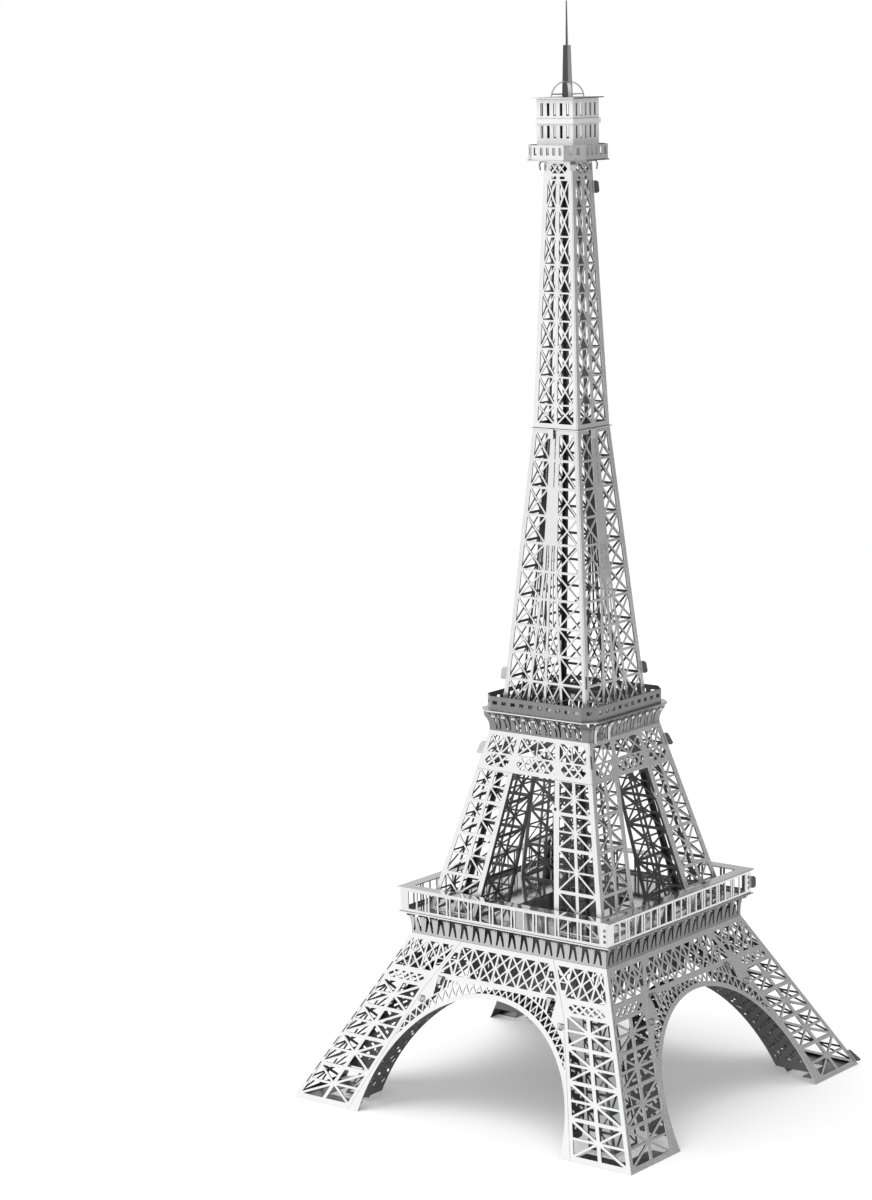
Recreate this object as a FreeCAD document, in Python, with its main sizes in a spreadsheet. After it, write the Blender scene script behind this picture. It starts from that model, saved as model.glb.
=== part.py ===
"""Miniature lattice tower: a souvenir model folded and tabbed together from thin stamped steel sheet.

Units are millimetres. +Z is up, the origin is at the middle of the footprint on the ground,
the front face looks along -Y and the right face along +X.
"""
import FreeCAD, Part
import Sketcher

import math
import os

Vector = FreeCAD.Vector
doc = FreeCAD.newDocument("LatticeTower")

# ---------------------------------------------------------------------------------------------
# Driving dimensions
# ---------------------------------------------------------------------------------------------
SIZES = {
    # sheet metal
    "sheet_thickness": 0.28,
    "fit_gap": 0.05,
    "strut_width": 0.46,
    "fine_strut_width": 0.38,
    "leg_strut_width": 0.58,
    "bar_width": 0.85,
    "diamond_strut_width": 0.56,
    # lower stage: four leaning box legs
    "lower_half": 54.30,
    "lower_lean": 0.528,
    "lower_top": 43.40,
    "leg_inner_half": 35.90,
    "leg_inner_lean": 0.427,
    "leg_shoulder": 31.20,
    "girder_end_half": 14.85,
    "corner_post_width": 1.30,
    "inner_post_width": 1.10,
    "middle_post_width": 1.05,
    "base_strip_height": 1.30,
    "leg_band_low": 32.20,
    "leg_band_high": 34.10,
    "leg_cell_ratio": 0.955,
    "fold_slot_width": 0.34,
    "fold_slot_length": 2.10,
    "fold_slot_pitch": 3.30,
    "fold_slot_inset": 0.50,
    "foot_plate_outer": 53.80,
    "foot_plate_inner": 36.20,
    "foot_plate_width": 6.00,
    # arches between the legs
    "arch_radius": 32.40,
    "arch_centre_drop": 0.85,
    "arch_strip_width": 1.20,
    "arch_crown_radius": 34.00,
    "arch_crown_rise": 1.40,
    "arch_rim_width": 0.42,
    "arch_first_angle": 27.0,
    "girder_low": 35.35,
    "girder_high": 42.15,
    "girder_post_pitch": 4.12,
    "girder_post_width": 0.62,
    "spandrel_inner": 11.90,
    "spandrel_outer": 17.20,
    "spandrel_rib_pitch": 1.30,
    "spandrel_rib_width": 0.62,
    "spandrel_gap_outer": 19.00,
    "soffit_depth_front": 8.00,
    "soffit_depth_side": 10.40,
    "soffit_low": 3.10,
    "soffit_hole_length": 1.45,
    "soffit_hole_width": 0.75,
    "soffit_hole_pitch": 1.85,
    # floor and girders hidden between the legs
    "ceiling_half": 30.10,
    "ceiling_opening_half": 12.00,
    "ceiling_level": 42.90,
    "inner_girder_half": 20.50,
    "inner_girder_low": 29.50,
    "inner_girder_strut": 1.50,
    "inner_girder_high": 42.85,
    # first floor
    "first_cove_top_half": 32.10,
    "bracket_pitch": 3.87,
    "first_cove_top": 49.10,
    "first_deck_half": 33.90,
    "first_deck_level": 49.20,
    "first_deck_opening_half": 11.10,
    "gallery_half": 33.35,
    "gallery_low": 49.55,
    "gallery_high": 55.75,
    "gallery_roof_half": 34.00,
    "gallery_roof_inner_half": 30.60,
    "gallery_roof_level": 55.80,
    # second stage: four slimmer box legs joined by girders
    "upper_half": 28.00,
    "upper_lean": 0.250,
    "upper_base": 49.55,
    "upper_top": 97.20,
    "upper_inner_half": 12.72,
    "upper_inner_lean": 0.158,
    "upper_post_width": 1.45,
    "upper_bar_a": 59.60,
    "upper_bar_b": 70.10,
    "upper_bar_c": 78.80,
    "upper_leg_top": 87.00,
    "upper_band_low": 88.20,
    "upper_band_high": 91.20,
    "upper_cross_high": 96.10,
    "lug_level": 79.70,
    "lug_radius": 1.15,
    "lug_hole_radius": 0.45,
    # second floor
    "cornice_top_half": 18.45,
    "cornice_top": 102.50,
    "second_deck_half": 18.80,
    "second_deck_chamfer": 3.10,
    "second_deck_level": 102.60,
    "second_rail_half": 17.60,
    "second_rail_chamfer": 3.00,
    "second_rail_high": 106.60,
    "second_rail_hole_width": 1.45,
    "second_rail_hole_height": 0.95,
    "second_rail_hole_pitch": 2.90,
    "second_rail_hole_level": 104.95,
    # third stage
    "third_half": 13.58,
    "third_lean": 0.0876,
    "third_base": 102.95,
    "third_top": 176.30,
    "third_bay_height": 7.20,
    "third_inner_half": 5.60,
    "third_inner_bend_half": 1.86,
    "third_inner_bend": 139.00,
    "third_inner_top_half": 1.00,
    "third_post_width": 0.80,
    "third_centre_post_width": 0.80,
    "third_bar_width": 0.66,
    "third_slit_width": 0.24,
    "joint_plate_half": 7.55,
    "joint_tab_width": 1.70,
    "joint_tab_drop": 2.30,
    # fourth stage
    "fourth_half": 7.08,
    "fourth_lean": 0.0400,
    "fourth_base": 176.70,
    "fourth_top": 245.10,
    "fourth_bay_height": 7.19,
    "fourth_lowest_bar": 182.75,
    "fourth_post_width": 1.05,
    # top gallery, cabin and mast
    "top_deck_half": 9.30,
    "top_deck_chamfer": 4.20,
    "top_rail_half": 8.95,
    "top_rail_chamfer": 4.00,
    "top_rail_low": 245.50,
    "top_rail_high": 249.20,
    "cabin_half": 5.70,
    "cabin_high": 260.80,
    "cabin_window_width": 0.80,
    "cabin_window_height": 3.20,
    "cabin_window_pitch": 2.02,
    "cabin_band_low": 254.50,
    "cabin_band_high": 255.75,
    "roof_half": 6.67,
    "cap_half": 3.00,
    "cap_level": 261.75,
    "dome_foot_radius": 4.30,
    "dome_crown": 265.20,
    "dome_strap_width": 0.85,
    "mast_base_half": 0.98,
    "mast_top_half": 0.70,
    "mast_top": 274.20,
    "spire_half": 0.24,
    "spire_tip_half": 0.12,
    "spire_top": 285.40,
    # twisted locking tabs
    "tab_width": 1.30,
    "tab_height": 3.20,
    "tab_gap": 0.08,
    "foot_tab_level": 0.90,
    "gallery_tab_level": 50.75,
    "upper_tab_level": 91.00,
    "third_tab_level": 110.60,
    "fourth_tab_level": 236.60,
}

sheet = doc.addObject("Spreadsheet::Sheet", "Sizes")
for row, (alias, value) in enumerate(SIZES.items(), start=1):
    sheet.set("A%d" % row, alias)
    sheet.set("B%d" % row, repr(value))
    sheet.setAlias("B%d" % row, alias)
doc.recompute()


def size(alias):
    """The value of one driving dimension, read from the sheet."""
    return float(sheet.get(alias))


thickness = size("sheet_thickness")
gap = size("fit_gap")
strut = size("strut_width")
fine = size("fine_strut_width")
bar = size("bar_width")
diamond_strut = size("diamond_strut_width")
leg_strut = size("leg_strut_width")


# ---------------------------------------------------------------------------------------------
# Flat geometry: points are (u, z) pairs on a face, u across it and z up
# ---------------------------------------------------------------------------------------------
def leaning(half, lean, from_level=0.0):
    """An edge that starts at u = half on from_level and leans inwards by lean per unit of height."""
    return lambda z: half - lean * (z - from_level)


def upright(u):
    """An edge that stays at the same u at every height."""
    return lambda z: u


def between(edge_a, edge_b, share):
    """The edge that lies at a share of the way from edge_a to edge_b."""
    return lambda z: edge_a(z) + share * (edge_b(z) - edge_a(z))


def shifted(edge, offset):
    """An edge moved sideways by offset."""
    return lambda z: edge(z) + offset


def opposite(edge):
    """The same edge on the other side of the middle line."""
    return lambda z: -edge(z)


def mirrored(holes):
    """The same holes on the other side of the middle line."""
    return [[(-u, z) for u, z in reversed(hole)] for hole in holes]


def meeting(point_a, direction_a, point_b, direction_b):
    """Where two lines cross, or None when they run side by side."""
    cross = direction_a[0] * direction_b[1] - direction_a[1] * direction_b[0]
    if abs(cross) < 1e-9:
        return None
    du = point_b[0] - point_a[0]
    dz = point_b[1] - point_a[1]
    along = (du * direction_b[1] - dz * direction_b[0]) / cross
    return (point_a[0] + along * direction_a[0], point_a[1] + along * direction_a[1])


def signed_area(corners):
    """Area inside a loop of corners, positive when they run anticlockwise."""
    total = 0.0
    for corner, following in zip(corners, corners[1:] + corners[:1]):
        total += corner[0] * following[1] - following[0] * corner[1]
    return 0.5 * total


def window(corners, margins, smallest=0.22):
    """A convex, anticlockwise opening pulled in from its corners by one margin per edge.

    The result is an empty list when the struts around it leave no room for an opening,
    otherwise a list that holds the one opening.
    """
    count = len(corners)
    if signed_area(corners) <= 0.0:
        return []
    lines = []
    for index, (corner, margin) in enumerate(zip(corners, margins)):
        following = corners[(index + 1) % count]
        along = (following[0] - corner[0], following[1] - corner[1])
        length = math.hypot(*along)
        if length < 1e-6:
            return []
        along = (along[0] / length, along[1] / length)
        start = (corner[0] - along[1] * margin, corner[1] + along[0] * margin)
        lines.append((start, along))
    opening = []
    for index in range(count):
        point = meeting(*lines[index - 1], *lines[index])
        if point is None:
            return []
        opening.append(point)
    for index, (start, along) in enumerate(lines):
        corner = opening[index]
        following = opening[(index + 1) % count]
        run = (following[0] - corner[0]) * along[0] + (following[1] - corner[1]) * along[1]
        if run < smallest:
            return []
    return [opening]


def fan(centre, ring, spokes):
    """Triangular openings between spokes that run from the centre to each point of a ring."""
    holes = []
    for index, point in enumerate(ring):
        following = (index + 1) % len(ring)
        triangle = [centre, point, ring[following]]
        holes += window(triangle, [spokes[index], 0.0, spokes[following]])
    return holes


def star_cell(left, middle, right, low, high, post, width):
    """Eight openings around an upright post, a level strut and two diagonals."""
    level = 0.5 * (low + high)
    ring = [
        (left(low), low), (middle(low), low), (right(low), low), (right(level), level),
        (right(high), high), (middle(high), high), (left(high), high), (left(level), level),
    ]
    diagonal = 0.5 * width
    upright_half = 0.5 * post
    spokes = [diagonal, upright_half, diagonal, diagonal] * 2
    return fan((middle(level), level), ring, spokes)


def cross_cell(left, right, low, high, width):
    """Four openings around two crossing diagonals."""
    ring = [(left(low), low), (right(low), low), (right(high), high), (left(high), high)]
    rising = (ring[2][0] - ring[0][0], ring[2][1] - ring[0][1])
    falling = (ring[3][0] - ring[1][0], ring[3][1] - ring[1][1])
    centre = meeting(ring[0], rising, ring[1], falling)
    return fan(centre, ring, [0.5 * width] * 4)


def diamond_row(left, right, low, high, count, width):
    """A row of diamonds side by side, with small triangles left open between their tips."""
    half = 0.5 * width
    level = 0.5 * (low + high)
    holes = []
    for index in range(count):
        start = between(left, right, index / count)
        middle = between(left, right, (index + 0.5) / count)
        stop = between(left, right, (index + 1) / count)
        diamond = [
            (middle(low), low), (stop(level), level), (middle(high), high), (start(level), level),
        ]
        holes += window(diamond, [half] * 4)
        if index + 1 == count:
            continue
        after = between(left, right, (index + 1.5) / count)
        tip = (stop(level), level)
        holes += window([(middle(low), low), (after(low), low), tip], [0.0, half, half])
        holes += window([tip, (after(high), high), (middle(high), high)], [half, 0.0, half])
    return holes


def double_cross(left, right, low, high, width):
    """Two crosses one above the other, with one large diamond left open between them."""
    half = 0.5 * width
    waist = 0.5 * (low + high)
    middle = between(left, right, 0.5)
    lower_level = 0.5 * (low + waist)
    upper_level = 0.5 * (waist + high)
    lower_centre = (middle(lower_level), lower_level)
    upper_centre = (middle(upper_level), upper_level)
    holes = []
    for centre, bottom, top in ((lower_centre, low, waist), (upper_centre, waist, high)):
        holes += window([(right(bottom), bottom), (right(top), top), centre], [0.0, half, half])
        holes += window([(left(top), top), (left(bottom), bottom), centre], [0.0, half, half])
    holes += window([(left(low), low), (right(low), low), lower_centre], [0.0, half, half])
    holes += window([upper_centre, (right(high), high), (left(high), high)], [half, 0.0, half])
    diamond = [lower_centre, (right(waist), waist), upper_centre, (left(waist), waist)]
    holes += window(diamond, [half] * 4)
    return holes


def tapered_cell(left, right, wide, narrow, width):
    """A cross in the wide half of a tapering cell and one opening towards its narrow end."""
    half = 0.5 * width
    waist = 0.5 * (wide + narrow)
    tip = waist + 0.55 * (narrow - waist)
    low, high = sorted((wide, waist))
    holes = cross_cell(left, right, low, high, width)
    low, high = sorted((waist, tip))
    margins = [half, 0.0, 0.0, 0.0] if narrow > wide else [0.0, 0.0, half, 0.0]
    return holes + window(box_outline(left, right, low, high), margins)


def right_of(edge, limit):
    """The edge, kept from crossing to the left of the limit."""
    return lambda z: max(edge(z), limit(z))


def posted_row(cell, posts, low, high, width, post):
    """One cell between each pair of neighbouring posts."""
    holes = []
    for start, stop in zip(posts, posts[1:]):
        left = shifted(start, 0.5 * post)
        right = right_of(shifted(stop, -0.5 * post), left)
        holes += cell(left, right, low, high, width)
    return holes


def box_outline(left, right, low, high):
    """The outline of a sheet between two edges and two levels."""
    return [(left(low), low), (right(low), low), (right(high), high), (left(high), high)]


def slot(u, low, high, width):
    """An upright rectangular opening."""
    half = 0.5 * width
    return [(u - half, low), (u + half, low), (u + half, high), (u - half, high)]


def round_hole(u, z, radius, sides=10):
    """A small round opening."""
    turn = 2.0 * math.pi / sides
    return [(u + radius * math.cos(k * turn), z + radius * math.sin(k * turn)) for k in range(sides)]


# ---------------------------------------------------------------------------------------------
# Sheets in space
# ---------------------------------------------------------------------------------------------
def front_plane(half_at):
    """Maps (u, z) onto the front face, whose distance from the axis is half_at(z)."""
    return lambda u, z: Vector(u, -half_at(z), z)


def right_plane(half_at):
    """Maps (u, z) onto the right face, with u measured from the middle towards the front."""
    return lambda u, z: Vector(half_at(z), -u, z)


def wire(points, place):
    """A closed wire through flat points placed in space."""
    corners = [place(u, z) for u, z in points]
    return Part.makePolygon(corners + corners[:1])


def pierced_face(outline, holes, place):
    """A flat face with openings; outline is a list of points or a finished wire."""
    border = outline if isinstance(outline, Part.Wire) else wire(outline, place)
    borders = Part.makeCompound([border] + [wire(hole, place) for hole in holes])
    return Part.makeFace(borders, "Part::FaceMakerCheese")


def turned(quarter):
    """The placement of a part repeated round the axis in quarter turns."""
    return FreeCAD.Placement(Vector(0, 0, 0), FreeCAD.Rotation(Vector(0, 0, 1), 90.0 * quarter))


def sheet_part(name, face, direction):
    """A sheet cut to the face and thickened along direction."""
    cut = doc.addObject("Part::Feature", name + "_cut")
    cut.Shape = face
    part = doc.addObject("Part::Extrusion", name)
    part.Base = cut
    part.DirMode = "Custom"
    part.Dir = direction
    part.Solid = True
    part.setExpression("LengthFwd", "Sizes.sheet_thickness")
    return part


INWARD_FROM_FRONT = Vector(0, 1, 0)
OUTWARD_TO_FRONT = Vector(0, -1, 0)
INWARD_FROM_RIGHT = Vector(-1, 0, 0)
OUTWARD_TO_RIGHT = Vector(1, 0, 0)

SIDES = ["front", "right", "back", "left"]
CORNERS = ["front_right", "back_right", "back_left", "front_left"]
nodes = []


def finish(part, name, quarter=0):
    """Names a finished sub-part, puts it in its place and lists it for export."""
    part.Label = name
    part.Placement = turned(quarter)
    nodes.append(part)


def folded(name, faces_and_directions):
    """Several sheets joined along their folds."""
    leaves = []
    for index, (face, direction) in enumerate(faces_and_directions):
        leaves.append(sheet_part("%s_leaf_%d" % (name, index), face, direction))
    joined = doc.addObject("Part::MultiFuse", name)
    joined.Shapes = leaves
    return joined


def shape_part(name, shape):
    """A sub-part whose shape is worked out in code."""
    part = doc.addObject("Part::Feature", name)
    part.Shape = shape
    return part


# ---------------------------------------------------------------------------------------------
# Lower stage: leg shells
# ---------------------------------------------------------------------------------------------
lower_edge = leaning(size("lower_half"), size("lower_lean"))
leg_inner_edge = leaning(size("leg_inner_half"), size("leg_inner_lean"))
leg_shoulder = size("leg_shoulder")
lower_top = size("lower_top")
shoulder_half = leg_inner_edge(leg_shoulder)
girder_end_lean = (shoulder_half - size("girder_end_half")) / (lower_top - leg_shoulder)
girder_end_edge = leaning(shoulder_half, girder_end_lean, leg_shoulder)
corner_post_edge = shifted(lower_edge, -size("corner_post_width"))
inner_post_edge = shifted(leg_inner_edge, size("inner_post_width"))


def geometric_levels(low, high, count, ratio):
    """Levels that split low to high into cells, each one shorter than the cell below by ratio."""
    total = sum(ratio ** index for index in range(count))
    levels = [low]
    for index in range(count):
        levels.append(levels[-1] + (high - low) * ratio ** index / total)
    return levels


FOLD_SLOT_LEVELS = (4.0, 41.0)
LEG_GIRDER_POSTS = (21.10, 25.30, 29.50)
GIRDER_RIM = 0.75


def leg_face_holes():
    """Openings in one outer face of a lower leg."""
    left = inner_post_edge
    right = corner_post_edge
    middle = between(left, right, 0.5)
    levels = geometric_levels(
        size("base_strip_height") - 0.5 * bar,
        size("leg_band_low") - 0.5 * bar,
        4,
        size("leg_cell_ratio"),
    )
    holes = []
    for low, high in zip(levels, levels[1:]):
        holes += star_cell(
            left, middle, right, low + 0.5 * bar, high - 0.5 * bar,
            size("middle_post_width"), leg_strut,
        )
    band_low = size("leg_band_low")
    band_high = size("leg_band_high")
    holes += diamond_row(left, right, band_low, band_high, 5, diamond_strut)
    low = size("girder_low")
    high = size("girder_high")
    post = size("girder_post_width")
    posts = [upright(u) for u in LEG_GIRDER_POSTS] + [shifted(corner_post_edge, 0.5 * post)]
    holes += posted_row(double_cross, posts, low, high, strut, post)
    first = upright(LEG_GIRDER_POSTS[0] - 0.5 * post)
    holes += tapered_cell(shifted(girder_end_edge, GIRDER_RIM), first, high, low, leg_strut)
    return holes


def leg_outline(outer):
    """Outline of one outer face of a lower leg, from its inner edge out to the edge given."""
    return [
        (leg_inner_edge(0.0), 0.0), (outer(0.0), 0.0), (outer(lower_top), lower_top),
        (girder_end_edge(lower_top), lower_top), (shoulder_half, leg_shoulder),
    ]


def fold_slots(edge, low, high):
    """A line of short slots that weakens the sheet beside a corner fold."""
    width = size("fold_slot_width")
    length = size("fold_slot_length")
    pitch = size("fold_slot_pitch")
    inset = size("fold_slot_inset")
    holes = []
    for index in range(int((high - low) / pitch)):
        bottom = low + index * pitch
        top = bottom + length
        inner = shifted(edge, -inset - width)
        outer = shifted(edge, -inset)
        holes.append(box_outline(inner, outer, bottom, top))
    return holes


leg_holes = leg_face_holes()
lower_front = front_plane(lower_edge)
lower_right = right_plane(lower_edge)
for quarter, corner in enumerate(CORNERS):
    name = "leg_shell_" + corner
    front_leaf = pierced_face(leg_outline(lower_edge), leg_holes, lower_front)
    side_holes = leg_holes + fold_slots(lower_edge, *FOLD_SLOT_LEVELS)
    side_outline = leg_outline(shifted(lower_edge, -thickness))
    side_leaf = pierced_face(side_outline, side_holes, lower_right)
    shell = folded(name, [(front_leaf, INWARD_FROM_FRONT), (side_leaf, INWARD_FROM_RIGHT)])
    finish(shell, name, quarter)

# ---------------------------------------------------------------------------------------------
# Arch panels with the girder above them, and the curved strips under the arches
# ---------------------------------------------------------------------------------------------
arch_radius = size("arch_radius")
arch_drop = size("arch_centre_drop")
strip_radius = arch_radius + size("arch_strip_width")
crown_radius = size("arch_crown_radius")
crown_rise = size("arch_crown_rise")
rim = size("arch_rim_width")
girder_low = size("girder_low")
girder_high = size("girder_high")
panel_leg_edge = shifted(leg_inner_edge, -gap)
panel_girder_edge = shifted(girder_end_edge, -gap)


def arch_point(radius, angle):
    """A point on a circle about the arch centre; angle runs from the right-hand springing."""
    return (radius * math.cos(angle), radius * math.sin(angle) - arch_drop)


def crown_level(u, radius):
    """Height of the outer arch curve at u."""
    return math.sqrt(radius ** 2 - u ** 2) + crown_rise


def outer_arch_point(angle):
    """Where a ray from the arch centre meets the outer arch curve, the chord or the leg's post."""
    along = (math.cos(angle), math.sin(angle))
    offset = arch_drop + crown_rise
    reach = offset * along[1] + math.sqrt(crown_radius ** 2 - (offset * along[0]) ** 2)
    chord_reach = (size("leg_band_high") + arch_drop) / along[1]
    leg_start = size("leg_inner_half") - gap - rim
    lean = size("leg_inner_lean")
    leg_reach = (leg_start + lean * arch_drop) / (abs(along[0]) + lean * along[1])
    reach = min(reach, chord_reach, leg_reach)
    return (reach * along[0], reach * along[1] - arch_drop)


def arch_lattice(count, first_angle):
    """Zigzag openings between the inner strip and the outer curve of the arch."""
    step = (math.pi - 2.0 * first_angle) / count
    half = 0.5 * fine
    holes = []
    for index in range(count):
        start = first_angle + index * step
        stop = start + step
        inner_start = arch_point(strip_radius, start)
        inner_stop = arch_point(strip_radius, stop)
        outer_middle = outer_arch_point(start + 0.5 * step)
        holes += window([inner_start, outer_middle, inner_stop], [half, half, 0.0])
        if index + 1 < count:
            outer_next = outer_arch_point(stop + 0.5 * step)
            holes += window([outer_middle, outer_next, inner_stop], [0.0, half, half])
    return holes


def spandrel_slots():
    """Upright slots between the ribs above the outer curve, and a wider gap beside the leg."""
    pitch = size("spandrel_rib_pitch")
    slot_width = pitch - size("spandrel_rib_width")
    inner = size("spandrel_inner")
    outer = size("spandrel_outer")
    top = size("leg_band_high")
    sides = [
        (inner + index * pitch, inner + index * pitch + slot_width)
        for index in range(int((outer - inner) / pitch))
    ]
    sides.append((outer, size("spandrel_gap_outer")))
    holes = []
    for left, right in sides:
        low_left = crown_level(left, crown_radius) + rim
        low_right = crown_level(right, crown_radius) + rim
        holes.append([(left, low_left), (right, low_right), (right, top), (left, top)])
    return holes


def arch_curve(radius, low_level, place, count=48):
    """The smooth edge of a circle about the arch centre, from right to left above low_level."""
    first = math.asin((low_level + arch_drop) / radius)
    step = (math.pi - 2.0 * first) / count
    curve = Part.BSplineCurve()
    curve.interpolate([place(*arch_point(radius, first + index * step)) for index in range(count + 1)])
    return curve.toShape()


def arch_outline(place):
    """Border of an arch panel: both leg edges, the girder's top and the arch's curve."""
    inner = arch_curve(arch_radius, 0.0, place)
    foot = arch_point(arch_radius, math.asin(arch_drop / arch_radius))[0]
    right = [
        (foot, 0.0), (panel_leg_edge(0.0), 0.0), (panel_leg_edge(leg_shoulder), leg_shoulder),
        (panel_girder_edge(lower_top), lower_top),
    ]
    corners = right + [(-u, z) for u, z in reversed(right)]
    points = [place(u, z) for u, z in corners]
    edges = [Part.makeLine(start, stop) for start, stop in zip(points, points[1:])]
    return Part.Wire(edges + [inner])


def girder_holes():
    """Openings of the girder over an arch."""
    pitch = size("girder_post_pitch")
    post = size("girder_post_width")
    posts = [upright((index - 3.5) * pitch) for index in range(8)]
    holes = posted_row(double_cross, posts, girder_low, girder_high, strut, post)
    last = upright(3.5 * pitch + 0.5 * post)
    outer = shifted(panel_girder_edge, -GIRDER_RIM)
    end = tapered_cell(last, outer, girder_low, girder_high, leg_strut)
    return holes + end + mirrored(end)


ARCH_CELLS = 36
slots = spandrel_slots()
lattice = arch_lattice(ARCH_CELLS, math.radians(size("arch_first_angle")))
arch_holes = lattice + slots + mirrored(slots) + girder_holes()
for quarter, side in enumerate(SIDES):
    name = "arch_panel_" + side
    face = pierced_face(arch_outline(lower_front), arch_holes, lower_front)
    finish(sheet_part(name, face, INWARD_FROM_FRONT), name, quarter)


SOFFIT_HOLES = 34
SOFFIT_FIRST_HOLE = 12.0
SOFFIT_HOLE_TILT = 35.0
SOFFIT_ROW_START = 0.6
CUTTER_DEPTH = 2.0


def soffit_shape(depth):
    """The curved, perforated strip that runs back from the edge of an arch."""
    place = front_plane(shifted(lower_edge, -thickness - gap))
    low = size("soffit_low")
    outer_radius = arch_radius + thickness
    inner = arch_curve(arch_radius, low, place)
    outer = arch_curve(outer_radius, low, place)
    ends = []
    for index in (0, 1):
        start = inner.Vertexes[index].Point
        stop = outer.Vertexes[index].Point
        ends.append(Part.makeLine(start, stop))
    border = Part.Wire(Part.__sortEdges__([inner, ends[0], outer, ends[1]]))
    strip = Part.Face(border).extrude(Vector(0, depth, 0))
    length = size("soffit_hole_length")
    width = size("soffit_hole_width")
    pitch = size("soffit_hole_pitch")
    spread = 180.0 - 2.0 * SOFFIT_FIRST_HOLE
    cutters = []
    for row_index in range(int((depth - thickness) / pitch)):
        for index in range(SOFFIT_HOLES):
            share = (index + 0.5 * (row_index % 2)) / (SOFFIT_HOLES - 0.5)
            angle = SOFFIT_FIRST_HOLE + spread * share
            u, z = arch_point(arch_radius, math.radians(angle))
            cutter = Part.makeBox(
                CUTTER_DEPTH, length, width,
                Vector(-0.5 * CUTTER_DEPTH, -0.5 * length, -0.5 * width),
            )
            tilt = FreeCAD.Rotation(Vector(1, 0, 0), SOFFIT_HOLE_TILT * (-1) ** index)
            turn = FreeCAD.Rotation(Vector(0, 1, 0), -angle)
            cutter.Placement = FreeCAD.Placement(Vector(0, 0, 0), turn.multiply(tilt))
            back = thickness + gap + (row_index + SOFFIT_ROW_START) * pitch
            cutter.translate(Vector(u, back - lower_edge(z), z))
            cutters.append(cutter)
    return strip.cut(Part.makeCompound(cutters))


soffits = [soffit_shape(size("soffit_depth_front")), soffit_shape(size("soffit_depth_side"))]
for quarter, side in enumerate(SIDES):
    name = "arch_soffit_" + side
    finish(shape_part(name, soffits[quarter % 2].copy()), name, quarter)


inner_girder_edge = upright(size("inner_girder_half"))
inner_girder_low = size("inner_girder_low")
inner_girder_high = size("inner_girder_high") - thickness - gap
inner_girder_posts = [
    upright(size("inner_girder_half") * (index - 4) / 4.0) for index in range(9)
]
inner_girder_strut = size("inner_girder_strut")
inner_girder_holes = posted_row(
    cross_cell, inner_girder_posts, inner_girder_low + bar, inner_girder_high - bar,
    inner_girder_strut, inner_girder_strut,
)
inner_girder_outline = box_outline(
    opposite(inner_girder_edge), shifted(inner_girder_edge, -thickness),
    inner_girder_low, inner_girder_high,
)
inner_girder_leaves = []
for quarter in range(4):
    face = pierced_face(inner_girder_outline, inner_girder_holes, front_plane(inner_girder_edge))
    leaf = sheet_part("inner_girder_leaf_%d" % quarter, face, INWARD_FROM_FRONT)
    leaf.Placement = turned(quarter)
    inner_girder_leaves.append(leaf)
inner_girder = doc.addObject("Part::MultiFuse", "inner_girder")
inner_girder.Shapes = inner_girder_leaves
finish(inner_girder, "inner_girder")


# ---------------------------------------------------------------------------------------------
# Curved coves under the two floors
# ---------------------------------------------------------------------------------------------
RUN_ALLOWANCE = 3.0


def cove_side(low, low_half, high, high_half, bulge):
    """One side of a flared cove, mitred at both ends; bulge is how far the middle hangs back."""
    level = 0.5 * (low + high)
    half = low_half + bulge * (high_half - low_half)
    points = [Vector(0, -low_half, low), Vector(0, -half, level), Vector(0, -high_half, high)]
    back = Vector(0, thickness, 0)
    outer = Part.Arc(*points).toShape()
    inner = Part.Arc(*[point + back for point in points]).toShape()
    ends = [Part.makeLine(point, point + back) for point in (points[0], points[2])]
    border = Part.Wire(Part.__sortEdges__([outer, ends[0], inner, ends[1]]))
    reach = high_half + RUN_ALLOWANCE
    sheet_run = Part.Face(border).extrude(Vector(2.0 * reach, 0, 0))
    sheet_run.translate(Vector(-reach, 0, 0))
    tip = Vector(0, -gap, low - 0.5 * RUN_ALLOWANCE)
    corners = [tip, tip + Vector(reach, -reach, 0), tip + Vector(-reach, -reach, 0)]
    wedge_foot = Part.Face(Part.makePolygon(corners + corners[:1]))
    wedge = wedge_foot.extrude(Vector(0, 0, high - low + RUN_ALLOWANCE))
    return sheet_run.common(wedge)


def punched(sheet_shape, holes, depth):
    """A sheet with openings cut straight through it along Y."""
    place = front_plane(upright(depth))
    cutters = []
    for hole in holes:
        cutters.append(Part.Face(wire(hole, place)).extrude(Vector(0, depth, 0)))
    return sheet_shape.cut(Part.makeCompound(cutters))


FORK_SHARE = 0.62
TOE_OUTER = 1.35
TOE_INNER = 0.85
TONGUE_TIP = 0.08
SHOULDER = 0.98
HEAD_HALF = 0.84


def bracket_opening(u, low, high, lean):
    """The opening between two brackets: a block that splits around a tongue lower down.

    The foot stands lean to the left of the head, so the opening looks upright on the flared sheet.
    """
    fork = low + FORK_SHARE * (high - low)
    foot = u - lean
    middle = u - (1.0 - FORK_SHARE) * lean
    left_side = [
        (foot - TOE_OUTER, low), (foot - TOE_INNER, low), (middle - TONGUE_TIP, fork),
    ]
    right_side = [
        (middle + TONGUE_TIP, fork), (foot + TOE_INNER, low), (foot + TOE_OUTER, low),
        (middle + SHOULDER, fork),
    ]
    head = [(u + HEAD_HALF, high), (u - HEAD_HALF, high), (middle - SHOULDER, fork)]
    return left_side + right_side + head


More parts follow.
